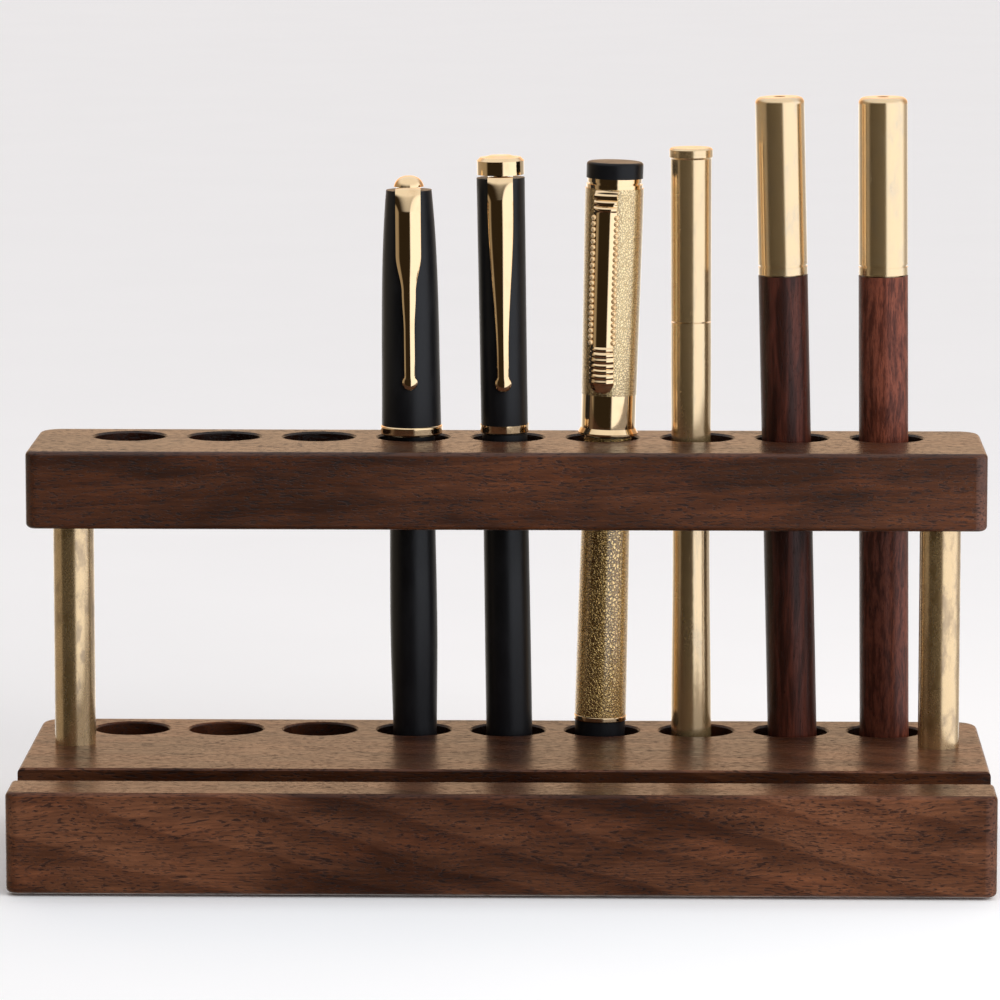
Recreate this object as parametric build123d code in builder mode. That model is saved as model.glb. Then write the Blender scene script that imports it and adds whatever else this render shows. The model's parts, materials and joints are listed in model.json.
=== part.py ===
"""Walnut pen stand with nine places, two brass posts and a card slot, and the six pens in it.

Frame: origin at the middle of the underside, +X to the right, +Z up, -Y towards the user.
All sizes are in millimetres. A pen's own heights are counted up from the end of its tail.
"""
import os
from math import radians, sin

from build123d import *

os.makedirs("parts", exist_ok=True)

# ---- the stand ----
stand_length = 200.0
base_depth = 86.0
base_top = 21.3
pad_stand_off = 0.5
pad_thickness = 1.5
pad_radius = 6.0
pad_inset = 13.0
back_margin = 12.0
bar_depth = 37.5
bar_bottom = 67.8
bar_top = 84.1
back_corner = 5.0
front_corner = 2.5
edge_round = 1.1

place_count = 9
place_pitch = 20.0
bar_hole_radius = 7.6
base_hole_radius = 7.85
hole_depth = 15.0
mouth_bevel = 0.4

slot_width = 13.5
slot_depth = 8.0
slot_y = -22.25

post_radius = 4.3
post_x = 90.6
post_y = 13.5
post_seat = 3.0
post_end_bevel = 0.4

thread_radius = 2.0
screw_clearance_radius = 2.25
screw_head_radius = 4.0
screw_head_height = 2.2
screw_grip = 12.0
stud_grip = 10.0
insert_radius = 3.0
insert_length = 8.0

# ---- the pens ----
fit_gap = 0.1          # between a cap and what it slides over
cap_rest_gap = 0.3     # between a cap's lip and the barrel's shoulder
tail_gap = 0.05        # between a tail and the floor of its hole

back_y = base_depth / 2
row_y = back_y - back_margin
hole_floor = base_top - hole_depth
bar_y = back_y - bar_depth / 2


def save(piece, label):
    """Label a finished piece and write it."""
    piece.part.label = label
    export_step(piece.part, f"parts/{label}.step")


def place_x(place):
    """X of a place, counted 1 to 9 from the left."""
    return (place - (place_count + 1) / 2) * place_pitch


def wooden_slab(centre_y, depth, bottom, top):
    """Slab with rounded upright corners, larger at the back, and softened edges."""
    with BuildPart() as slab:
        with BuildSketch(Plane.XY.offset(bottom)):
            with Locations((0, centre_y)):
                Rectangle(stand_length, depth)
        extrude(amount=top - bottom)
        uprights = slab.edges().filter_by(Axis.Z).group_by(Axis.Y)
        fillet(uprights[-1], back_corner)
        uprights = slab.edges().filter_by(Axis.Z).group_by(Axis.Y)
        fillet(uprights[0], front_corner)
        rims = slab.faces().filter_by(Axis.Z).edges()
        fillet(rims, edge_round)
    return slab


# ---- wooden parts ----
places = [(place_x(place), row_y) for place in range(1, place_count + 1)]
posts = [(-post_x, post_y), (post_x, post_y)]
pad_x = stand_length / 2 - pad_inset
pad_y = base_depth / 2 - pad_inset
pads = [(x, y) for x in (-pad_x, pad_x) for y in (-pad_y, pad_y)]
seat_floor = base_top - post_seat
seat_roof = bar_bottom + post_seat

base_slab = wooden_slab(0, base_depth, pad_stand_off, base_top)
with BuildPart() as base_block:
    add(base_slab.part)
    # blind holes for the pens' tails
    with Locations(Plane.XY.offset(base_top)):
        with Locations(*places):
            CounterSinkHole(base_hole_radius, base_hole_radius + mouth_bevel, hole_depth, 90)
    # card slot, open at both ends
    with BuildSketch(Plane.YZ):
        with BuildLine():
            Polyline(
                (slot_y - slot_width / 2 - mouth_bevel, base_top),
                (slot_y - slot_width / 2, base_top - mouth_bevel),
                (slot_y - slot_width / 2, base_top - slot_depth),
                (slot_y + slot_width / 2, base_top - slot_depth),
                (slot_y + slot_width / 2, base_top - mouth_bevel),
                (slot_y + slot_width / 2 + mouth_bevel, base_top),
                close=True,
            )
        make_face()
    extrude(amount=stand_length, both=True, mode=Mode.SUBTRACT)
    # seats for the posts, and the screws' countersunk holes under them
    with BuildSketch(Plane.XY.offset(base_top)):
        with Locations(*posts):
            Circle(post_radius)
    extrude(amount=-post_seat, mode=Mode.SUBTRACT)
    with BuildSketch(Plane.XY.offset(seat_floor)):
        with Locations(*posts):
            Circle(screw_clearance_radius)
    extrude(amount=pad_stand_off - seat_floor, mode=Mode.SUBTRACT)
    for x, y in posts:
        with Locations((x, y, pad_stand_off + screw_head_height / 2)):
            Cone(screw_head_radius, screw_clearance_radius, screw_head_height, mode=Mode.SUBTRACT)
    # recesses for the pads
    with BuildSketch(Plane.XY.offset(pad_stand_off)):
        with Locations(*pads):
            Circle(pad_radius)
    extrude(amount=pad_thickness - pad_stand_off, mode=Mode.SUBTRACT)
save(base_block, "base_block")

bar_slab = wooden_slab(bar_y, bar_depth, bar_bottom, bar_top)
with BuildPart() as top_bar:
    add(bar_slab.part)
    with Locations(Plane.XY.offset(bar_top)):
        with Locations(*places):
            CounterSinkHole(bar_hole_radius, bar_hole_radius + mouth_bevel, counter_sink_angle=90)
    with BuildSketch(Plane.XY.offset(bar_bottom)):
        with Locations(*posts):
            Circle(post_radius)
    extrude(amount=post_seat, mode=Mode.SUBTRACT)
    with BuildSketch(Plane.XY.offset(seat_roof)):
        with Locations(*posts):
            Circle(insert_radius)
    extrude(amount=insert_length, mode=Mode.SUBTRACT)
save(top_bar, "top_bar")

# ---- posts and their fasteners ----
post_low = seat_floor
post_high = seat_roof
for label, (x, y) in zip(("left_post", "right_post"), posts):
    with BuildPart() as post:
        with BuildSketch(Plane.XY.offset(post_low)):
            with Locations((x, y)):
                Circle(post_radius)
        extrude(amount=post_high - post_low)
        chamfer(post.edges().filter_by(GeomType.CIRCLE), post_end_bevel)
        with BuildSketch(Plane.XY.offset(post_low)):
            with Locations((x, y)):
                Circle(thread_radius)
        extrude(amount=screw_grip, mode=Mode.SUBTRACT)
        with BuildSketch(Plane.XY.offset(post_high)):
            with Locations((x, y)):
                Circle(thread_radius)
        extrude(amount=-stud_grip, mode=Mode.SUBTRACT)
    save(post, label)

with BuildPart() as post_screws:
    with BuildSketch(Plane.XY.offset(pad_stand_off)):
        with Locations(*posts):
            Circle(thread_radius)
    extrude(amount=post_low + screw_grip - pad_stand_off)
    for x, y in posts:
        with Locations((x, y, pad_stand_off + screw_head_height / 2)):
            Cone(screw_head_radius, thread_radius, screw_head_height)
        with BuildSketch(Plane.XY.offset(pad_stand_off)):
            with Locations((x, y)):
                RegularPolygon(1.5, 6)
        extrude(amount=1.4, mode=Mode.SUBTRACT)
save(post_screws, "post_screws")

with BuildPart() as post_studs:
    with BuildSketch(Plane.XY.offset(post_high - stud_grip)):
        with Locations(*posts):
            Circle(thread_radius)
    extrude(amount=stud_grip + insert_length)
save(post_studs, "post_studs")

with BuildPart() as threaded_inserts:
    with BuildSketch(Plane.XY.offset(post_high)):
        with Locations(*posts):
            Circle(insert_radius)
            Circle(thread_radius, mode=Mode.SUBTRACT)
    extrude(amount=insert_length)
save(threaded_inserts, "threaded_inserts")

with BuildPart() as foot_pads:
    with BuildSketch():
        with Locations(*pads):
            Circle(pad_radius)
    extrude(amount=pad_thickness)
save(foot_pads, "foot_pads")


# ---- pens: shared shapes ----
def pen_seat(place, lean, tail_shift, tail_radius, turn=0.0):
    """Plane at the end of a pen's tail: +Z up its axis, -Y the way its front faces.

    lean is the angle to the right in degrees, tail_shift is how far right of the hole's
    middle the tail stands, and turn swings the front anticlockwise seen from above.
    """
    lift = hole_floor + tail_gap + tail_radius * abs(sin(radians(lean)))
    return Plane(Location((place_x(place) + tail_shift, row_y, lift), (0, lean, turn)))


def turned(seat, skin, inside):
    """Lathe-turned piece of (radius, height) points.

    skin is its outside from low to high, one smooth curve where it has more than two
    points. inside lists the corners from the top of the skin round to its start.
    """
    profile_plane = Plane(origin=seat.origin, x_dir=seat.x_dir, z_dir=-seat.y_dir)
    with BuildPart() as piece:
        with BuildSketch(profile_plane):
            with BuildLine():
                if len(skin) > 2:
                    Spline(*skin)
                else:
                    Line(*skin)
                Polyline(skin[-1], *inside, skin[0])
            make_face()
        revolve(axis=Axis(seat.origin, seat.z_dir))
    return piece


def round_rim(piece, seat, height, radius):
    """Round the widest circular edge of a turned piece at this height."""
    with piece:
        rims = piece.edges().filter_by(GeomType.CIRCLE)
        rims = rims.filter_by(lambda rim: abs(seat.to_local_coords(rim.arc_center).Z - height) < 0.01)
        fillet(rims.sort_by(lambda rim: rim.radius)[-1], radius)


def clip(seat, cap_skin, side, front, tip, thickness, stud_radius):
    """Spring clip: a strip bent along its side line and cut to its front outline.

    side lists (distance out from the axis, height) along the strip's middle from the top.
    front lists (half width, height) down its edge, from the axis back to the axis.
    tip is (radius, height) of its rounded end.
    """
    side_plane = Plane(origin=seat.origin, x_dir=-seat.y_dir, z_dir=-seat.x_dir)
    front_plane = Plane(origin=seat.origin, x_dir=seat.x_dir, z_dir=-seat.y_dir)
    tip_radius, tip_height = tip
    cap_low = cap_skin[0][1]
    cap_top = cap_skin[-1][1]
    cap_core = turned(seat, cap_skin, [(0, cap_top), (0, cap_low)])
    with BuildPart() as piece:
        with BuildSketch(side_plane):
            with BuildLine():
                FilletPolyline(*side, radius=thickness)
            trace(line_width=thickness)
        extrude(amount=cap_top, both=True)
        with BuildSketch(front_plane):
            with BuildLine():
                Polyline(*front)
                mirror(about=Plane.YZ)
            make_face()
            with Locations((0, tip_height)):
                Circle(tip_radius)
        extrude(amount=cap_top, both=True, mode=Mode.INTERSECT)
        add(cap_core.part, mode=Mode.SUBTRACT)
        with BuildSketch(seat):
            Circle(stud_radius)
        extrude(amount=2 * cap_top, mode=Mode.SUBTRACT)
    return piece


def fountain_insides(seat, prefix, mouth, stem_radius, reservoir_low):
    """Section, nib, feed and converter of a fountain pen whose barrel ends at mouth."""
    collar_radius = 4.7
    collar_top = mouth + 5
    stem_low = mouth - 10
    section_top = mouth + 25.5
    nib_radius = 3.3
    nib_low = mouth + 18
    nib_shoulder = mouth + 27
    nib_tip = mouth + 47
    nib_thickness = 0.35
    bore_radius = nib_radius - nib_thickness
    feed_radius = bore_radius - 0.02
    feed_low = nib_low - 4
    feed_top = nib_tip - 5
    channel_radius = 0.9
    neck_radius = 2.2
    neck_top = mouth - 2
    reservoir_radius = 3.3

    section = turned(
        seat,
        [(4.5, collar_top), (4.2, collar_top + 8), (3.85, section_top - 5), (4.15, section_top)],
        [
            (nib_radius, section_top),
            (nib_radius, nib_low),
            (bore_radius, nib_low),
            (bore_radius, feed_low),
            (channel_radius, feed_low),
            (channel_radius, neck_top),
            (neck_radius, neck_top),
            (neck_radius, stem_low),
            (stem_radius, stem_low),
            (stem_radius, mouth),
            (collar_radius, mouth),
            (collar_radius, collar_top),
        ],
    )
    save(section, f"{prefix}_section")

    # the nib is the front half of a thin cone, with its slit and breather hole
    cone = turned(
        seat,
        [(nib_radius, nib_low), (nib_radius, nib_shoulder)],
        [(0.45, nib_tip), (0.1, nib_tip), (bore_radius, nib_shoulder), (bore_radius, nib_low)],
    )
    front_plane = Plane(origin=seat.origin, x_dir=seat.x_dir, z_dir=-seat.y_dir)
    with BuildPart() as nib:
        add(cone.part)
        split(bisect_by=front_plane, keep=Keep.TOP)
        with BuildSketch(front_plane):
            with Locations((0, nib_shoulder)):
                Circle(0.55)
            with Locations((0, (nib_shoulder + nib_tip) / 2)):
                Rectangle(0.16, nib_tip - nib_shoulder - 2)
        extrude(amount=2 * nib_radius, mode=Mode.SUBTRACT)
    save(nib, f"{prefix}_nib")

    # the feed carries a comb of fins between the section and its taper
    fin_pitch = 0.9
    fin_depth = 0.5
    comb_low = section_top + 0.5
    feed_rod = turned(
        seat,
        [(feed_radius, feed_low), (feed_radius, nib_shoulder)],
        [(0.65, feed_top), (0, feed_top), (0, feed_low)],
    )
    with BuildPart() as feed:
        add(feed_rod.part)
        for fin in range(4):
            groove_low = comb_low + fin * fin_pitch
            with BuildSketch(seat.offset(groove_low)):
                Circle(feed_radius + 1)
                Circle(feed_radius - fin_depth, mode=Mode.SUBTRACT)
            extrude(amount=fin_pitch / 2, mode=Mode.SUBTRACT)
    save(feed, f"{prefix}_feed")

    converter = turned(
        seat,
        [(reservoir_radius, reservoir_low), (reservoir_radius, stem_low - 1)],
        [
            (neck_radius, stem_low - 1),
            (neck_radius, neck_top),
            (channel_radius, neck_top),
            (channel_radius, stem_low - 1),
            (reservoir_radius - 0.6, stem_low - 2),
            (reservoir_radius - 0.6, reservoir_low + 8),
            (0, reservoir_low + 8),
            (0, reservoir_low),
        ],
    )
    save(converter, f"{prefix}_converter")


def rollerball_insides(seat, prefix, mouth, stem_radius, collar_radius, grip_length, refill):
    """Section and refill of a rollerball whose barrel ends at mouth.

    refill is (radius of its tube, height of its lower end).
    """
    refill_radius, refill_low = refill
    stem_low = mouth - 9
    collar_top = mouth + 3.5
    grip_top = collar_top + grip_length
    cone_top = grip_top + 5
    tip_radius = 0.9
    refill_top = grip_top - 1
    ball_top = cone_top + 2.2
    section = turned(
        seat,
        [(collar_radius - 0.2, collar_top), (collar_radius - 0.9, grip_top)],
        [
            (tip_radius + 0.4, cone_top),
            (tip_radius, cone_top),
            (tip_radius, refill_top),
            (refill_radius, refill_top),
            (refill_radius, stem_low),
            (stem_radius, stem_low),
            (stem_radius, mouth),
            (collar_radius, mouth),
            (collar_radius, collar_top),
        ],
    )
    save(section, f"{prefix}_section")

    tube = turned(
        seat,
        [(refill_radius, refill_low), (refill_radius, refill_top)],
        [(tip_radius, refill_top), (tip_radius, cone_top + 1), (0.35, ball_top), (0, ball_top), (0, refill_low)],
    )
    save(tube, f"{prefix}_refill")


# ---- black fountain pen with gold trim, place 4 ----
prefix = "black_pen"
seat = pen_seat(place=4, lean=-0.55, tail_shift=0.37, tail_radius=3.0)
mouth = 78.0
lip = mouth + cap_rest_gap
barrel_bore = 3.9
cap_bore = 4.7 + fit_gap
cap_inner_top = 127.5
ring_top = 80.4
cap_top = 130.1
clip_thickness = 0.7
stud_radius = 1.5
finial_low = cap_top + clip_thickness

barrel = turned(
    seat,
    [(4.3, 0), (4.72, 19), (5.0, 38), (4.88, 54), (4.95, mouth)],
    [(barrel_bore, mouth), (barrel_bore, 8), (0, 8), (0, 0)],
)
round_rim(barrel, seat, 0, 2.0)
save(barrel, f"{prefix}_barrel")
fountain_insides(seat, prefix, mouth, barrel_bore, reservoir_low=14)

cap_skin = [(6.28, ring_top), (6.12, 94), (5.96, 107), (5.64, 117.5), (4.8, cap_top)]
cap = turned(
    seat,
    cap_skin,
    [
        (stud_radius, cap_top),
        (stud_radius, cap_inner_top),
        (4.0, cap_inner_top),
        (4.3, 112),
        (cap_bore, 109),
        (cap_bore, ring_top),
    ],
)
save(cap, f"{prefix}_cap")

lip_ring = turned(seat, [(6.56, lip), (6.56, ring_top)], [(cap_bore, ring_top), (cap_bore, lip)])
round_rim(lip_ring, seat, lip, 0.5)
round_rim(lip_ring, seat, ring_top, 0.5)
save(lip_ring, f"{prefix}_lip_ring")

pocket_clip = clip(
    seat,
    cap_skin,
    side=[(-1.7, 130.45), (5.3, 130.45), (6.75, 126), (7.0, 104), (6.9, 93), (6.6, 88)],
    front=[(0, 132), (2.65, 132), (2.65, 112), (1.25, 104), (1.15, 90), (0, 90)],
    tip=(1.6, 90.0),
    thickness=clip_thickness,
    stud_radius=stud_radius,
)
save(pocket_clip, f"{prefix}_clip")

finial = turned(
    seat,
    [(3.2, finial_low), (2.5, 132.2), (0, 133.1)],
    [(0, cap_inner_top), (stud_radius, cap_inner_top), (stud_radius, finial_low)],
)
save(finial, f"{prefix}_finial")

# ---- slim black rollerball with a gold crown, place 5 ----
prefix = "slim_pen"
seat = pen_seat(place=5, lean=-0.9, tail_shift=0.52, tail_radius=4.0)
mouth = 78.5
lip = mouth + cap_rest_gap
barrel_bore = 3.7
cap_bore = 4.3 + fit_gap
cap_inner_top = 128.5
ring_top = 80.5
cap_top = 132.7
crown_low = cap_top + clip_thickness

barrel = turned(
    seat,
    [(4.8, 0), (4.89, 22), (4.8, 54), (4.78, mouth)],
    [(barrel_bore, mouth), (barrel_bore, 6), (0, 6), (0, 0)],
)
round_rim(barrel, seat, 0, 1.2)
save(barrel, f"{prefix}_barrel")
rollerball_insides(seat, prefix, mouth, barrel_bore, 4.3, grip_length=23, refill=(3.0, 12))

cap_skin = [(4.94, ring_top), (4.96, 97), (5.04, 121), (5.07, cap_top)]
cap = turned(
    seat,
    cap_skin,
    [
        (stud_radius, cap_top),
        (stud_radius, cap_inner_top),
        (cap_bore, cap_inner_top),
        (cap_bore, ring_top),
    ],
)
save(cap, f"{prefix}_cap")

lip_ring = turned(seat, [(5.15, lip), (5.15, ring_top)], [(cap_bore, ring_top), (cap_bore, lip)])
round_rim(lip_ring, seat, lip, 0.25)
save(lip_ring, f"{prefix}_lip_ring")

pocket_clip = clip(
    seat,
    cap_skin,
    side=[(-1.7, 133.05), (4.9, 133.05), (6.05, 129.5), (6.15, 104), (6.05, 94), (5.6, 88)],
    front=[(0, 134), (2.6, 134), (2.5, 124), (1.5, 100), (1.5, 90), (0, 90)],
    tip=(1.5, 89.6),
    thickness=clip_thickness,
    stud_radius=stud_radius,
)
save(pocket_clip, f"{prefix}_clip")

crown = turned(
    seat,
    [(5.0, crown_low), (5.0, 136.3)],
    [
        (4.3, 137.0),
        (3.7, 137.0),
        (2.2, 137.4),
        (0, 137.5),
        (0, cap_inner_top),
        (stud_radius, cap_inner_top),
        (stud_radius, crown_low),
    ],
)
save(crown, f"{prefix}_crown")

# ---- gold fountain pen with black ends, place 6 ----
prefix = "gold_pen"
seat = pen_seat(place=6, lean=1.4, tail_shift=-0.83, tail_radius=4.4, turn=-14)
mouth = 78.0
lip = mouth + cap_rest_gap
barrel_bore = 3.9
tail_thread = 3.4
cap_bore = 4.7 + fit_gap
cap_inner_top = 127.5
band_top = 87.0
cap_top = 130.6
rings_top = 132.7
stud_radius = 2.0
clip_thickness = 0.9
tail_ring_low = 17.2
tail_ring_top = 18.4

barrel = turned(
    seat,
    [(5.48, tail_ring_top), (5.42, 28), (5.3, 43), (5.17, 56), (5.1, mouth)],
    [(barrel_bore, mouth), (barrel_bore, 30), (tail_thread, 28), (tail_thread, tail_ring_top)],
)
save(barrel, f"{prefix}_barrel")

tail_ring = turned(
    seat,
    [(5.6, tail_ring_low), (5.6, tail_ring_top)],
    [(tail_thread, tail_ring_top), (tail_thread, tail_ring_low)],
)
round_rim(tail_ring, seat, tail_ring_low, 0.3)
round_rim(tail_ring, seat, tail_ring_top, 0.3)
save(tail_ring, f"{prefix}_tail_ring")

tail_cap = turned(
    seat,
    [(4.9, 0), (5.2, 8), (5.35, tail_ring_low)],
    [(tail_thread, tail_ring_low), (tail_thread, 26), (0, 26), (0, 0)],
)
round_rim(tail_cap, seat, 0, 1.2)
save(tail_cap, f"{prefix}_tail_cap")
fountain_insides(seat, prefix, mouth, barrel_bore, reservoir_low=31)

cap_skin = [(5.83, band_top), (5.97, 100), (6.14, 118), (6.2, cap_top)]
cap = turned(
    seat,
    cap_skin,
    [
        (stud_radius, cap_top),
        (stud_radius, cap_inner_top),
        (cap_bore, cap_inner_top),
        (cap_bore, band_top),
    ],
)
save(cap, f"{prefix}_cap")

cap_band = turned(
    seat,
    [(5.76, lip + 1.6), (5.76, band_top)],
    [(cap_bore, band_top), (cap_bore, lip), (6.3, lip), (6.3, lip + 0.6)],
)
round_rim(cap_band, seat, lip, 0.25)
save(cap_band, f"{prefix}_cap_band")

top_rings = turned(
    seat,
    [(5.75, cap_top + 1.25), (5.75, rings_top)],
    [
        (stud_radius, rings_top),
        (stud_radius, cap_top),
        (5.95, cap_top),
        (5.95, cap_top + 0.8),
        (5.5, cap_top + 0.8),
        (5.5, cap_top + 1.25),
    ],
)
save(top_rings, f"{prefix}_top_rings")

pocket_clip = clip(
    seat,
    cap_skin,
    side=[(5.0, 129.4), (6.6, 129.4), (7.55, 126.5), (7.5, 104), (7.3, 95), (6.6, 87.8)],
    front=[(0, 131), (2.4, 131), (2.3, 98), (2.6, 96), (2.6, 90.2), (0, 90.2)],
    tip=(2.3, 90.2),
    thickness=clip_thickness,
    stud_radius=stud_radius,
)
save(pocket_clip, f"{prefix}_clip")

finial = turned(
    seat,
    [(5.97, rings_top), (5.97, 136.1)],
    [(0, 136.1), (0, cap_inner_top), (stud_radius, cap_inner_top), (stud_radius, rings_top)],
)
round_rim(finial, seat, 136.1, 0.7)
save(finial, f"{prefix}_finial")

# ---- plain brass pen, place 7 ----
prefix = "brass_pen"
seat = pen_seat(place=7, lean=-0.25, tail_shift=-1.0, tail_radius=4.2)
mouth = 102.3
lip = mouth + cap_rest_gap
barrel_bore = 3.0
cap_bore = 3.5 + fit_gap

barrel = turned(
    seat,
    [(4.2, 0), (4.24, 22), (4.0, 45), (3.95, 58), (4.16, 76), (4.26, 90), (4.24, mouth)],
    [(barrel_bore, mouth), (barrel_bore, 12), (0, 12), (0, 0)],
)
save(barrel, f"{prefix}_barrel")
rollerball_insides(seat, prefix, mouth, barrel_bore, 3.5, grip_length=16, refill=(1.6, 20))

cap = turned(
    seat,
    [(4.26, lip), (4.32, 136.8)],
    [
        (4.6, 137.2),
        (4.6, 138.7),
        (4.2, 139.1),
        (0, 139.1),
        (0, 135.5),
        (cap_bore, 135.5),
        (cap_bore, lip),
    ],
)
save(cap, f"{prefix}_cap")

# ---- two wooden pens with brass caps, places 8 and 9 ----
wooden_pens = {
    "dark_wood_pen": pen_seat(place=8, lean=-1.5, tail_shift=0.8, tail_radius=4.4),
    "red_wood_pen": pen_seat(place=9, lean=-0.6, tail_shift=0.1, tail_radius=4.4),
}
pen_radius = 5.2
mouth = 112.2
lip = mouth + cap_rest_gap
cap_top = 149.8
dimple_radius = 1.2
dimple_depth = 1.5
groove_low = lip + 1.6
groove_width = 0.5
groove_depth = 0.25
barrel_bore = 3.3
cap_bore = 4.15 + fit_gap

for prefix, seat in wooden_pens.items():
    barrel = turned(
        seat,
        [(pen_radius, 0), (pen_radius, mouth)],
        [(barrel_bore, mouth), (barrel_bore, 15), (0, 15), (0, 0)],
    )
    round_rim(barrel, seat, 0, 0.8)
    save(barrel, f"{prefix}_barrel")
    rollerball_insides(seat, prefix, mouth, barrel_bore, 4.15, grip_length=16, refill=(2.8, 25))
    cap = turned(
        seat,
        [(pen_radius, groove_low + groove_width), (pen_radius, cap_top)],
        [
            (dimple_radius, cap_top),
            (dimple_radius, cap_top - dimple_depth),
            (0, cap_top - dimple_depth),
            (0, 145),
            (cap_bore, 145),
            (cap_bore, lip),
            (pen_radius, lip),
            (pen_radius, groove_low),
            (pen_radius - groove_depth, groove_low),
            (pen_radius - groove_depth, groove_low + groove_width),
        ],
    )
    round_rim(cap, seat, cap_top, 1.4)
    save(cap, f"{prefix}_cap")
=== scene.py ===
import json
import math

import bmesh
import bpy
from mathutils import Euler, Matrix, Vector


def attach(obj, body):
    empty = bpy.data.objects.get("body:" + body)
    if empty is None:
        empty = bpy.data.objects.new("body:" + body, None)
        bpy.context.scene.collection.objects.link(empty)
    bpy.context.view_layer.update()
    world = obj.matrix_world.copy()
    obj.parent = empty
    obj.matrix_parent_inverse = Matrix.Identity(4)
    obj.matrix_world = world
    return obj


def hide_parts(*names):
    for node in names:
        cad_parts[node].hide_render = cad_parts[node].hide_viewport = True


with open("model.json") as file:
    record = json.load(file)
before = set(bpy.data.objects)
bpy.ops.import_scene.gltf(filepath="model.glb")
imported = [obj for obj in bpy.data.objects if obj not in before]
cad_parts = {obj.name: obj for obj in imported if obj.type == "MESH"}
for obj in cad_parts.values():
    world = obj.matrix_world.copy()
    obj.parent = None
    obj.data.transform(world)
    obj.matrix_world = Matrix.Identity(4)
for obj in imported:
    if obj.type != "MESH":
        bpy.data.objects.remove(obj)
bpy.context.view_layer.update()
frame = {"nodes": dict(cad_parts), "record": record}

# A walnut stand with six pens: a material for every CAD node, the three clips made again as
# pressed blades, one of them with two rows of beads, then the floor, the light and the camera.

MM = 0.001
scene = bpy.context.scene

# sizes of the frame in millimetres
place_pitch = 20.0
middle_place = 5      # places are numbered from the left, and this one is at x = 0
row_y = 31.0
row_end = 89.0        # just past the outer holes
hole_edge = 8.15      # radius of the base's holes with most of their bevel
slot_y = -22.25
slot_edge = 6.85      # half the card slot's width with some of its bevel
slot_floor = 13.3
tail_floor = 6.35     # height at which the pens' tails stand


# ---- node trees ----
class Shade:
    """The node tree of a new material, or one that exists. Distances in it are millimetres."""

    def __init__(self, name, tree=None):
        if tree is None:
            self.material = bpy.data.materials.new(name)
            self.material.use_nodes = True
            tree = self.material.node_tree
            self.surface = tree.nodes["Principled BSDF"]
        self.tree = tree

    def add(self, kind, inputs=(), **settings):
        node = self.tree.nodes.new("ShaderNode" + kind)
        for key, value in settings.items():
            setattr(node, key, value)
        for key, value in dict(inputs).items():
            self.put(node.inputs[key], value)
        return node

    def put(self, socket, value):
        """Link another node's output to a socket, or set the socket's own value."""
        if isinstance(value, bpy.types.NodeSocket):
            self.tree.links.new(value, socket)
        elif socket.type == "RGBA" and len(value) == 3:
            socket.default_value = (*value, 1)
        else:
            socket.default_value = value

    def look(self, **values):
        """Set or link the surface's sockets, named in lower case with underscores."""
        for key, value in values.items():
            socket = key.replace("_", " ").title().replace("Ior", "IOR")
            self.put(self.surface.inputs[socket], value)
        return self.material

    def math(self, operation, first, second=0.0):
        node = self.add("Math", operation=operation)
        self.put(node.inputs[0], first)
        self.put(node.inputs[1], second)
        return node.outputs[0]

    def vector(self, operation, first, second):
        node = self.add("VectorMath", operation=operation)
        self.put(node.inputs[0], first)
        self.put(node.inputs[1], second)
        return node.outputs[0]

    def place(self, size=(1, 1, 1), shift=(0, 0, 0)):
        """Position on the piece in millimetres plus a shift, divided by size along each axis."""
        spot = self.add("TexCoord").outputs["Object"]
        spot = self.vector("MULTIPLY", spot, (1 / MM, 1 / MM, 1 / MM))
        spot = self.vector("ADD", spot, shift)
        return self.vector("DIVIDE", spot, size)

    def noise(self, spot, detail=2.0, rough=0.5, twist=0.0, output="Fac"):
        node = self.add("TexNoise", {"Scale": 1.0, "Detail": detail, "Roughness": rough, "Distortion": twist})
        self.put(node.inputs["Vector"], spot)
        return node.outputs[output]

    def step(self, value, start, end, low=0.0, high=1.0):
        """Smooth change from low to high while value goes from start to end."""
        node = self.add("MapRange", {"Value": value, "From Min": start, "From Max": end,
                                     "To Min": low, "To Max": high}, interpolation_type="SMOOTHSTEP")
        return node.outputs["Result"]

    def pores(self, spot, size, reach):
        """1 in elongated pores, one to a cell of this size in millimetres, some left out."""
        cell = self.add("TexVoronoi", {"Vector": self.vector("DIVIDE", spot, size), "Scale": 1.0})
        chance = self.add("SeparateColor", {0: cell.outputs["Color"]}).outputs["Red"]
        edge = self.step(chance, 0.1, 0.9, 0.0, reach)
        return self.step(self.math("SUBTRACT", cell.outputs["Distance"], edge), 0.0, -0.09)

    def painted_recess_shade(self):
        """1 on the walls of the pen holes and of the card slot, which get painted shade: a darker colour
        standing in for the shade in these recesses.
        """
        axes = self.add("SeparateXYZ", {0: self.place()}).outputs
        along = self.math("PINGPONG", axes["X"], place_pitch / 2)
        across = self.math("SUBTRACT", axes["Y"], row_y)
        squares = self.math("ADD", self.math("POWER", along, 2), self.math("POWER", across, 2))
        apart = self.math("SQRT", squares)
        hole = self.math("MULTIPLY", self.step(apart, hole_edge, hole_edge - 0.25),
                         self.step(self.math("ABSOLUTE", axes["X"]), row_end, row_end - 0.5))
        aside = self.math("ABSOLUTE", self.math("SUBTRACT", axes["Y"], slot_y))
        slot = self.math("MULTIPLY", self.step(aside, slot_edge, slot_edge - 0.15),
                         self.step(axes["Z"], slot_floor - 0.1, slot_floor - 0.02))
        return self.math("MAXIMUM", hole, slot)

    def mix(self, share, first, second, blend="MIX"):
        """Two colours mixed. The numbers are the sockets that a Mix node has for colours."""
        node = self.add("Mix", data_type="RGBA", blend_type=blend)
        for index, value in zip((0, 6, 7), (share, first, second)):
            self.put(node.inputs[index], value)
        return node.outputs[2]

    def bump(self, height, depth, under=None):
        """Normal of a relief that rises depth millimetres while height goes from 0 to 1."""
        node = self.add("Bump", {"Height": height, "Distance": depth * MM, "Strength": 1.0})
        if under is not None:
            self.put(node.inputs["Normal"], under)
        return node.outputs["Normal"]


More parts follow.
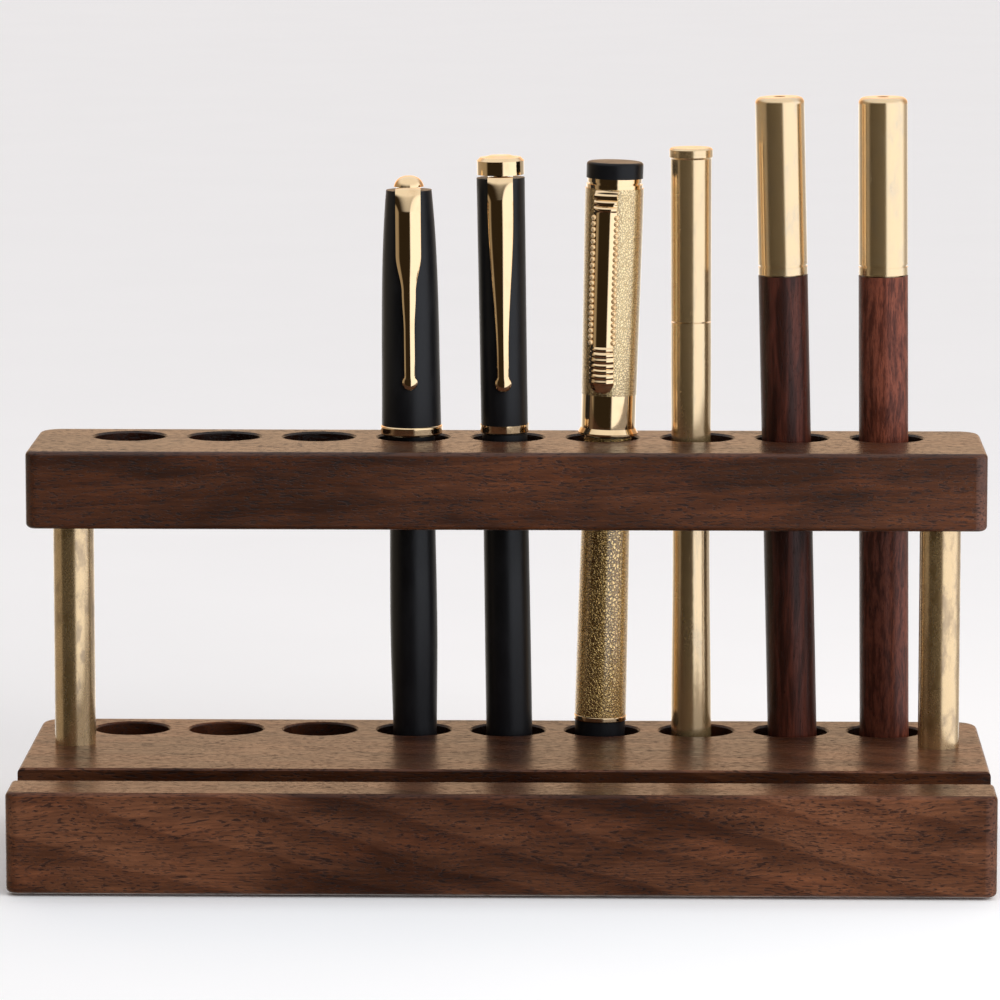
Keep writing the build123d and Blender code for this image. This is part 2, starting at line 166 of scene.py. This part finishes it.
# ---- woods ----
def walnut(name, pith, ring, light, dark, red, shift, heart, gloss, wander=7.0, slant=0.0, growth=0.35):
    """Board with its grain along X: rings round a pith line, fibres, and short dark pores.

    pith is the line's (y, z) at x = 0 and slant its fall along X; ring is the width of a growth
    ring and growth the share of its late wood's darkness; wander is how far the grain strays.
    heart is (middle, reach, depth) of the darker wood along the board.
    """
    s = Shade(name)
    drift = s.noise(s.place((50, 20, 15), shift), detail=2, output="Color")
    drift = s.vector("SUBTRACT", drift, (0.5, 0.5, 0.5))
    drift = s.vector("MULTIPLY", drift, (wander * 3, wander, wander))
    spot = s.vector("ADD", s.place(), drift)

    # growth rings, each darkening slowly to its end
    off_pith = s.vector("SUBTRACT", spot, (0, *pith))
    run = s.add("SeparateXYZ", {0: spot}).outputs["X"]
    fall = s.add("CombineXYZ", {"Z": s.math("MULTIPLY", run, slant)}).outputs[0]
    apart = s.vector("MULTIPLY", s.vector("ADD", off_pith, fall), (0, 1, 1))
    length = s.add("VectorMath", {0: apart}, operation="LENGTH").outputs["Value"]
    saw = s.math("FRACT", s.math("DIVIDE", length, ring))
    late = s.math("SUBTRACT", s.step(saw, 0.25, 0.9), s.step(saw, 0.93, 1.0))

    # fibres and flecks drawn out along the grain, and slow changes of colour
    fibre = s.noise(s.vector("DIVIDE", spot, (11, 0.45, 0.45)), detail=3, rough=0.65)
    fleck = s.noise(s.vector("DIVIDE", spot, (2.6, 0.5, 0.5)), detail=2, rough=0.6)
    cloud = s.noise(s.place((44, 20, 11), (shift[1], 9, shift[0])), detail=3, rough=0.55)
    warm = s.noise(s.place((22, 9, 6), (5, 5, shift[2])), detail=2)

    # large pores where they crowd, and small ones everywhere
    dash = s.noise(s.vector("DIVIDE", spot, (1.7, 0.28, 0.28)), detail=1, rough=0.4, twist=0.2)
    crowd = s.noise(s.place((14, 5, 4), (31, shift[0], 7)), detail=1)
    edge = s.math("SUBTRACT", 0.705, s.math("MULTIPLY", crowd, 0.21))
    large = s.step(s.math("SUBTRACT", dash, edge), 0.0, 0.06)
    small = s.pores(spot, (1.8, 0.46, 0.46), 0.40)
    pores = s.math("MAXIMUM", large, s.math("MULTIPLY", small, 0.7))

    colour = s.mix(s.step(cloud, 0.34, 0.66), dark, light)
    colour = s.mix(s.step(warm, 0.50, 0.75, 0.0, 0.7), colour, red)
    colour = s.mix(s.math("MULTIPLY", late, growth), colour, (0.50, 0.42, 0.38), "MULTIPLY")
    colour = s.mix(s.step(fibre, 0.30, 0.70, 0.75, 0.0), colour, (0.45, 0.40, 0.38), "MULTIPLY")
    colour = s.mix(s.step(fleck, 0.52, 0.72, 0.0, 0.45), colour, (1.55, 1.50, 1.45), "MULTIPLY")
    colour = s.mix(s.math("MULTIPLY", pores, 0.78), colour, (0.16, 0.14, 0.15), "MULTIPLY")
    middle, reach, depth = heart
    aside = s.math("ABSOLUTE", s.math("SUBTRACT", run, middle))
    colour = s.mix(s.step(aside, reach * 0.2, reach, depth, 0.0), colour, (0.55, 0.52, 0.52), "MULTIPLY")
    # painted shade: the walls of the holes and of the card slot are darkened
    colour = s.mix(s.painted_recess_shade(), colour, (0.34, 0.30, 0.28), "MULTIPLY")
    rough = s.math("ADD", s.step(fibre, 0.3, 0.7, 0.35, 0.25), s.math("MULTIPLY", pores, 0.25))
    relief = s.bump(s.math("SUBTRACT", s.math("MULTIPLY", fibre, 0.25), pores), 0.04)
    return s.look(base_color=colour, roughness=rough, normal=relief, specular_ior_level=gloss)


def pen_wood(name, light, dark, streak, grain, pore_share, shift):
    """Turned wood with its grain along Z: streaks and finer grain of these sizes, and pores."""
    s = Shade(name)
    wave = s.noise(s.place((6, 6, 30), shift), detail=1, output="Color")
    wave = s.vector("MULTIPLY", s.vector("SUBTRACT", wave, (0.5, 0.5, 0.5)), (4, 4, 0))
    spot = s.vector("ADD", s.place((1, 1, 1), shift), wave)
    bands = s.noise(s.vector("DIVIDE", spot, streak), detail=3, rough=0.6)
    fine = s.noise(s.vector("DIVIDE", spot, grain), detail=2, rough=0.6)
    pores = s.step(s.noise(s.vector("DIVIDE", spot, (0.22, 0.22, 1.3)), detail=1), 0.60, 0.70)
    colour = s.mix(s.step(bands, 0.38, 0.62), dark, light)
    colour = s.mix(s.step(fine, 0.35, 0.65, 0.45, 0.0), colour, (0.45, 0.38, 0.36), "MULTIPLY")
    colour = s.mix(s.math("MULTIPLY", pores, pore_share), colour, (0.25, 0.18, 0.16), "MULTIPLY")
    rough = s.step(fine, 0.3, 0.7, 0.42, 0.32)
    relief = s.bump(s.math("SUBTRACT", s.math("MULTIPLY", fine, 0.4), pores), 0.03)
    return s.look(base_color=colour, roughness=rough, normal=relief, specular_ior_level=0.26)


# ---- metals ----
def metal(name, bright, dull, rough, patch=(3, 3, 6), share=(0.45, 0.75), line=0.0, shift=(0, 0, 0),
          pure=0.87, coat=2.4):
    """Metal with patches of tarnish, and turning marks round Z that are line millimetres deep.

    patch is the patches' size and share the range of their noise over which they set in; pure is
    how metallic the metal is, and coat the refractive index of the clear coat that brightens it.
    """
    s = Shade(name)
    blotch = s.noise(s.place(patch, shift), detail=4, rough=0.6)
    speck = s.noise(s.place((0.35, 0.35, 0.35), shift), detail=2)
    tarnish = s.step(blotch, *share)
    colour = s.mix(tarnish, bright, dull)
    marks = s.noise(s.place((1.5, 1.5, 0.09), shift), detail=2)
    worn = s.step(tarnish, 0, 1, rough, rough * 1.6)
    roughness = s.math("ADD", worn, s.step(speck, 0.55, 0.75, 0, rough * 0.35))
    relief = s.bump(marks, line) if line else s.bump(speck, 0.002)
    return s.look(base_color=colour, metallic=pure, roughness=roughness, normal=relief,
                  coat_weight=1.0, coat_ior=coat, coat_roughness=rough)


def crinkled_gold(name, bright, dull, cell, depth, rough):
    """Gold with a rolled pattern of fine creases round flat cells of this size, with painted shade in the
    creases.
    """
    s = Shade(name)
    bend = s.noise(s.place((cell, cell, cell)), detail=2, output="Color")
    spot = s.place((cell, cell, cell * 1.15))
    spot = s.vector("ADD", spot, s.vector("MULTIPLY", bend, (1.3, 1.3, 1.3)))
    cells = s.add("TexVoronoi", {"Vector": spot, "Scale": 1.0}, feature="DISTANCE_TO_EDGE")
    inside = cells.outputs["Distance"]
    fine = s.noise(s.place((cell * 0.4, cell * 0.4, cell * 0.4)), detail=2)
    crease = s.step(inside, 0.0, 0.22)
    # painted shade: the creases take the dull colour, and the flat cells take the bright one
    colour = s.mix(s.step(inside, 0.0, 0.16), dull, bright)
    colour = s.mix(s.step(fine, 0.35, 0.6, 0.5, 0.0), colour, dull)
    relief = s.bump(s.math("ADD", crease, s.math("MULTIPLY", fine, 0.7)), depth)
    roughness = s.step(fine, 0.3, 0.7, rough, rough * 1.5)
    return s.look(base_color=colour, metallic=0.97, roughness=roughness, normal=relief,
                  coat_weight=1.0, coat_ior=1.7, coat_roughness=rough)


# ---- lacquer, plastic and rubber ----
def coated(name, colour, worn, rough, grain=0.25, depth=0.003, rings=0.0, **more):
    """Smooth or grained plastic, lacquer or rubber, with rubbed patches.

    rings is the half pitch of moulded rings round Z, or 0 for none.
    """
    s = Shade(name)
    rub = s.noise(s.place((5, 5, 9)), detail=3, rough=0.6)
    fine = s.noise(s.place((grain, grain, grain)), detail=2)
    tone = s.mix(s.step(rub, 0.4, 0.75), colour, worn)
    rubbed = s.step(rub, 0.35, 0.7, rough, rough * 1.25)
    roughness = s.math("ADD", rubbed, s.step(fine, 0.5, 0.8, 0, rough * 0.25))
    relief = s.bump(fine, depth)
    if rings:
        height = s.add("SeparateXYZ", {0: s.place()}).outputs["Z"]
        wave = s.math("PINGPONG", height, rings)
        relief = s.bump(s.step(wave, 0.0, rings), 0.12, relief)
    return s.look(base_color=tone, roughness=roughness, normal=relief, **more)


BRASS = (0.80, 0.54, 0.24)
BRASS_DULL = (0.56, 0.35, 0.13)
GOLD = (0.94, 0.66, 0.34)
GOLD_DULL = (0.78, 0.48, 0.21)
BLACK = (0.005, 0.005, 0.006)

# by the names of the record's material slots
materials = {
    "base_walnut": walnut("base_walnut", (-60, -38), 7.5, (0.164, 0.063, 0.029), (0.070, 0.024, 0.010),
                          (0.168, 0.058, 0.025), (3, 7, 11), heart=(-4, 62, 0.8), gloss=0.22,
                          slant=0.28, growth=0.6),
    "bar_walnut": walnut("bar_walnut", (-14, 190), 4.2, (0.114, 0.039, 0.016), (0.050, 0.017, 0.007),
                         (0.117, 0.037, 0.014), (23, 2, 5), heart=(-110, 130, 0.6), gloss=0.42,
                         wander=4.0, slant=-0.06),
    "post_brass": metal("post_brass", (0.72, 0.48, 0.21), (0.42, 0.26, 0.10), 0.22, (2.2, 2.2, 5),
                        (0.42, 0.70), 0.004, coat=2.1),
    "screw_steel": metal("screw_steel", (0.62, 0.62, 0.60), (0.45, 0.44, 0.42), 0.28, line=0.004),
    "insert_brass": metal("insert_brass", BRASS, BRASS_DULL, 0.35, line=0.01),
    "pad_rubber": coated("pad_rubber", (0.022, 0.021, 0.020), (0.045, 0.043, 0.041), 0.75, 0.4, 0.02),
    "black_lacquer": coated("black_lacquer", BLACK, (0.008, 0.008, 0.009), 0.34, specular_ior_level=0.32),
    "gold_trim": metal("gold_trim", GOLD, GOLD_DULL, 0.08, (4, 4, 8), (0.5, 0.85), pure=1.0, coat=1.9),
    "gold_engraved": crinkled_gold("gold_engraved", (1.0, 0.69, 0.28), (0.46, 0.27, 0.07),
                                   0.66, 0.10, 0.18),
    "black_gloss": coated("black_gloss", BLACK, (0.007, 0.007, 0.008), 0.30, specular_ior_level=0.20),
    "plain_brass": metal("plain_brass", BRASS, (0.62, 0.43, 0.20), 0.20, (3, 3, 12), (0.45, 0.8), 0.003),
    "cap_brass": metal("cap_brass", BRASS, (0.64, 0.47, 0.26), 0.17, (3, 3, 7), (0.45, 0.8), 0.003,
                       (40, 0, 0)),
    "dark_rosewood": pen_wood("dark_rosewood", (0.074, 0.019, 0.011), (0.026, 0.007, 0.004),
                              (1.6, 1.6, 26), (0.5, 0.5, 7), 0.5, (3, 1, 0)),
    "red_sandalwood": pen_wood("red_sandalwood", (0.170, 0.046, 0.025), (0.070, 0.017, 0.009),
                               (0.9, 0.9, 6), (0.28, 0.28, 1.2), 0.5, (9, 4, 2)),
    "grip_black": coated("grip_black", (0.014, 0.014, 0.015), (0.022, 0.022, 0.023), 0.42, rings=0.9),
    "grip_brass": metal("grip_brass", BRASS, BRASS_DULL, 0.24, line=0.02),
    "nib_gold": metal("nib_gold", (0.95, 0.74, 0.42), GOLD, 0.13, line=0.002),
    "feed_black": coated("feed_black", (0.016, 0.016, 0.017), (0.03, 0.03, 0.03), 0.45, 0.2, 0.01),
    "converter_clear": coated("converter_clear", (0.72, 0.76, 0.78), (0.60, 0.64, 0.67), 0.12,
                              transmission_weight=0.75, ior=1.49),
    "refill_body": coated("refill_body", (0.55, 0.56, 0.57), (0.42, 0.43, 0.45), 0.32, rings=2.2),
}

# the gold pen's cap has a finer pattern than its barrel
fine_crinkle = crinkled_gold("gold_engraved_fine", (0.98, 0.76, 0.40), (0.42, 0.27, 0.10), 0.46, 0.026, 0.17)

for part in frame["record"]["subparts"]:
    piece = frame["nodes"][part["node"]]
    if not piece.material_slots:
        piece.data.materials.append(None)
    for slot in piece.material_slots:
        slot.material = materials[part["material_slot"]]
frame["nodes"]["gold_pen_cap"].material_slots[0].material = fine_crinkle

# ---- the pens' clips, in each pen's own millimetres ----
row_gap = 0.22                      # from one cross-section of a blade to the next
face_steps = 20                     # steps across a blade's outer face
back_skip = 4                       # the flat back has every fourth of the outer face's points
fold_length = 4.5                   # a blade has its full arch from this far below its fold
fold_arch = 0.12                    # share of the arch that it has at the fold
sharp_angle = math.radians(38)      # edges that turn by more than this stay sharp


def pen_frame(place, lean, tail_shift, tail_radius, turn=0.0):
    """Matrix from a pen's own millimetres (front -Y, up its axis +Z) to the frame."""
    lean = math.radians(lean)
    tail_x = (place - middle_place) * place_pitch + tail_shift
    tail = Vector((tail_x, row_y, tail_floor + tail_radius * abs(math.sin(lean))))
    spin = Euler((0, lean, 0)).to_matrix().to_4x4() @ Matrix.Rotation(math.radians(turn), 4, "Z")
    return Matrix.Translation(tail * MM) @ spin @ Matrix.Scale(MM, 4)


def rounded(points, rounds=4):
    """The line through these points with its corners cut round, ends kept."""
    points = [Vector(point) for point in points]
    for _ in range(rounds):
        cut = [points[0]]
        for a, b in zip(points, points[1:]):
            cut += [a.lerp(b, 0.25), a.lerp(b, 0.75)]
        points = cut + [points[-1]]
    return points


def spread(points, gap):
    """Points at an even gap along a line, and its end."""
    line = [points[0]]
    left = gap
    for a, b in zip(points, points[1:]):
        span = (b - a).length
        while span > left:
            a = a.lerp(b, left / span)
            line.append(a)
            span = (b - a).length
            left = gap
        left -= span
    return line + [points[-1]]


def half_width(height, widths, tip_height, tip_radius):
    """Half the blade's width at a height above its end: smooth between the stated widths, round tip."""
    if height >= widths[0][0]:
        width = widths[0][1]
    else:
        width = widths[-1][1]
        for (high, a), (low, b) in zip(widths, widths[1:]):
            if low <= height < high:
                t = (high - height) / (high - low)
                width = a + (b - a) * t * t * (3 - 2 * t)
    drop = tip_height - height
    if abs(drop) < tip_radius:
        disc = math.sqrt(tip_radius ** 2 - drop ** 2)
        return disc if drop > 0 else max(width, disc)
    return width


def finished(name, mesh_data, seat, body, node=None, slot="gold_trim"):
    """Turn a bmesh in a pen's millimetres into a piece that rides on a body."""
    bmesh.ops.recalc_face_normals(mesh_data, faces=mesh_data.faces)
    mesh = bpy.data.meshes.new(name)
    mesh_data.to_mesh(mesh)
    mesh_data.free()
    mesh.transform(seat)
    mesh.shade_smooth()
    mesh.set_sharp_from_angle(angle=sharp_angle)
    piece = bpy.data.objects.new(name, mesh)
    scene.collection.objects.link(piece)
    mesh.materials.append(materials[slot])
    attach(piece, body)
    if node:
        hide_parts(node)
    return piece


def blade(name, body, node, seat, side, widths, tip, arch, thickness, relief=None):
    """Pressed spring clip: a strip along its side line, its outer face arched across.

    side lists (distance out from the pen's axis, height) along the strip's back, from the top.
    widths lists (height, half the width) from the top, and tip is (height, radius) of the round
    end. arch is the slope of the outer face at its edges, in degrees. relief, a function of the
    height on the pen, says how much is added to the outer face.
    """
    line = spread(rounded(side), row_gap)
    line = [spot for spot in line if spot.y > tip[0] - tip[1]]
    arch = math.radians(arch)
    blank = bmesh.new()
    rows = []
    for index, spot in enumerate(line):
        ahead = line[min(index + 1, len(line) - 1)] - line[max(index - 1, 0)]
        out = Vector((-ahead.y, ahead.x)).normalized()
        half = half_width(spot.y, widths, *tip)
        crown = half / math.sin(arch)
        fade = min(max((side[0][1] - spot.y) / fold_length, fold_arch), 1.0)
        row = []
        for step in range(face_steps + 1):
            slope = arch * (2 * step / face_steps - 1)
            x = crown * math.sin(slope)
            lift = thickness + crown * (math.cos(slope) - math.cos(arch)) * fade
            if relief:
                lift += relief(spot.y)
            row.append((x, spot + out * lift))
        for step in range(face_steps, -1, -back_skip):
            row.append((crown * math.sin(arch * (2 * step / face_steps - 1)), spot))
        rows.append([blank.verts.new((x, -point.x, point.y)) for x, point in row])
    count = len(rows[0])
    for above, below in zip(rows, rows[1:]):
        for i in range(count):
            j = (i + 1) % count
            blank.faces.new((above[i], above[j], below[j], below[i]))
    blank.faces.new(rows[0])
    blank.faces.new(rows[-1])
    return finished(name, blank, seat, body, node)


# black pen: broad at its fold, then a narrow tongue
black_seat = pen_frame(4, -0.55, 0.37, 3.0)
blade("black_pen_clip_blade", "black_pen_cap", "black_pen_clip", black_seat,
      side=[(1.0, 130.3), (4.2, 130.3), (5.0, 130.3), (5.5, 129.7), (5.75, 128.6), (6.2, 124),
            (6.6, 112), (6.6, 100), (6.5, 93), (6.25, 88)],
      widths=[(117, 2.65), (109, 1.45), (101, 1.1), (90, 1.1)], tip=(90.0, 1.6), arch=48, thickness=0.4)

# slim pen: one long taper
slim_seat = pen_frame(5, -0.9, 0.52, 4.0)
blade("slim_pen_clip_blade", "slim_pen_cap", "slim_pen_clip", slim_seat,
      side=[(1.0, 132.75), (4.0, 132.75), (4.6, 132.75), (5.05, 132.2), (5.25, 131.2), (5.4, 127),
            (5.6, 115), (5.65, 100), (5.55, 94), (5.2, 87.9)],
      widths=[(126, 2.65), (95, 1.2), (90, 1.2)], tip=(89.6, 1.7), arch=46, thickness=0.4)

# gold pen: broad all along, with ribs at its root and on a pad at its end
gold_seat = pen_frame(6, 1.4, -0.83, 4.4, turn=-14)
rib_rows = [(125.9, 1.3, 3, 0.55), (89.6, 1.15, 7, 0.38)]    # lowest height, pitch, how many, how proud


def ribs(height):
    """How far the ribs stand proud of the clip at a height."""
    for low_rib, pitch, count, proud in rib_rows:
        turn = (height - low_rib) / pitch
        if 0 < turn < count:
            return proud * abs(math.sin(math.pi * turn))
    return 0.0


blade("gold_pen_clip_blade", "gold_pen_cap", "gold_pen_clip", gold_seat,
      side=[(5.4, 130.2), (5.9, 130.2), (6.35, 129.7), (6.6, 128.6), (6.9, 125), (7.0, 112),
            (6.95, 101), (6.8, 95), (6.2, 87.6)],
      widths=[(129, 2.45), (98, 2.35), (95, 2.6), (90, 2.6)], tip=(90.2, 2.6), arch=44, thickness=0.3,
      relief=ribs)

# a row of beads along each of its edges
bead_radius = 0.60
bead_pitch = 1.25
bead_reach = 2.4     # from the clip's middle to a row
beads = bmesh.new()
bead_line = spread(rounded([(7.15, 124.8), (7.4, 112), (7.35, 104), (7.2, 98.5)]), bead_pitch)
for spot in bead_line:
    for side_sign in (-1, 1):
        shell = bmesh.ops.create_icosphere(beads, subdivisions=2, radius=bead_radius)
        bmesh.ops.translate(beads, verts=shell["verts"], vec=(side_sign * bead_reach, -spot.x, spot.y))
bead_rows = finished("gold_pen_clip_beads", beads, gold_seat, "gold_pen_cap")
bead_rows.material_slots[0].material = metal("bead_gold", GOLD, GOLD_DULL, 0.32, pure=0.6, coat=1.6)

# ---- floor ----
floor_half = 4.0
bpy.ops.mesh.primitive_plane_add(size=2 * floor_half, location=(0, 0, 0))
floor = bpy.context.object
floor.name = "floor"
paper = Shade("floor_paper")
tooth = paper.noise(paper.place((60, 60, 60)), detail=3)
paper_white = paper.mix(tooth, (0.94, 0.945, 0.95), (0.97, 0.975, 0.98))
floor.data.materials.append(paper.look(base_color=paper_white, roughness=0.9))
floor.visible_glossy = False    # polished metal mirrors the room below eye level, not a sheet of paper

# ---- light ----
world = bpy.data.worlds.new("studio")
world.use_nodes = True
scene.world = world
w = Shade("studio", world.node_tree)
back = world.node_tree.nodes["Background"]
way = w.add("SeparateXYZ", {0: w.add("TexCoord").outputs["Generated"]})
heading = w.math("ARCTAN2", way.outputs["X"], w.math("MULTIPLY", way.outputs["Y"], -1))
round_share = w.math("ADD", w.math("DIVIDE", heading, 2 * math.pi), 0.5)

# light round the horizon: the angle to the right of the front in degrees, brightness and tint
DAY = (0.95, 1.0, 1.09)
PALE = (1.0, 0.97, 0.93)
WARM = (1.0, 0.86, 0.66)
DIM = (1.0, 0.74, 0.44)
round_room = [(-180, 1.3, PALE), (-152, 1.15, PALE), (-130, 0.40, WARM), (-74, 0.32, WARM),
              (-62, 0.026, DIM), (9, 0.026, DIM), (17, 1.32, DAY), (96, 1.32, DAY),
              (122, 0.42, PALE), (142, 0.50, PALE), (165, 1.2, PALE), (180, 1.3, PALE)]
world_strength = 2.0    # a ramp's colours stop at 1, so they hold brightness divided by this
ramp = w.add("ValToRGB")
ramp.color_ramp.interpolation = "EASE"
w.put(ramp.inputs[0], round_share)
stops = ramp.color_ramp.elements
for index, (degrees, value, tint) in enumerate(round_room):
    share = degrees / 360 + 0.5
    stop = stops[index] if index < 2 else stops.new(share)
    stop.position = share
    stop.color = (*[value / world_strength * part for part in tint], 1)

# the back wall is redder above the horizon, the ceiling is even, and the camera sees plain pale grey
upper_back = w.math("MULTIPLY", w.step(way.outputs["Z"], -0.06, 0.04), w.step(way.outputs["Y"], 0.1, 0.7))
room = w.mix(upper_back, ramp.outputs[0], (1.04, 0.71, 0.46), "MULTIPLY")
ceiling = w.step(way.outputs["Z"], 0.35, 0.75)
room = w.mix(ceiling, room, (0.46, 0.47, 0.49))
seen = w.add("LightPath").outputs["Is Camera Ray"]
w.put(back.inputs["Color"], w.mix(seen, room, (0.45, 0.45, 0.45)))
w.put(back.inputs["Strength"], world_strength)

# a soft lamp on the right, turned to the stand's right half and seen only by its light
side_lamp = bpy.data.objects.new("side_lamp", bpy.data.lights.new("side_lamp", "AREA"))
scene.collection.objects.link(side_lamp)
side_lamp.data.shape = "RECTANGLE"
side_lamp.data.size = 0.35
side_lamp.data.size_y = 0.45
side_lamp.data.energy = 3.0
side_lamp.data.color = PALE
side_lamp.location = (0.50, -0.38, 0.24)
lamp_aim = Vector((0.05, 0, 0.04)) - side_lamp.location
side_lamp.rotation_euler = lamp_aim.to_track_quat("-Z", "Y").to_euler()
side_lamp.visible_camera = False
side_lamp.visible_glossy = False

# ---- camera, placed by a fit to the edges and holes in the photograph ----
looks_down = 0.1425    # radians
turned_left = 0.0219
camera = bpy.data.objects.new("camera", bpy.data.cameras.new("camera"))
scene.collection.objects.link(camera)
camera.data.sensor_width = 36.0
camera.data.lens = 223.4
camera.location = (0.02677, -1.269, 0.25718)
camera.rotation_euler = (math.pi / 2 - looks_down, 0, turned_left)
camera.data.clip_end = 30
scene.camera = camera
scene.view_settings.view_transform = "Standard"
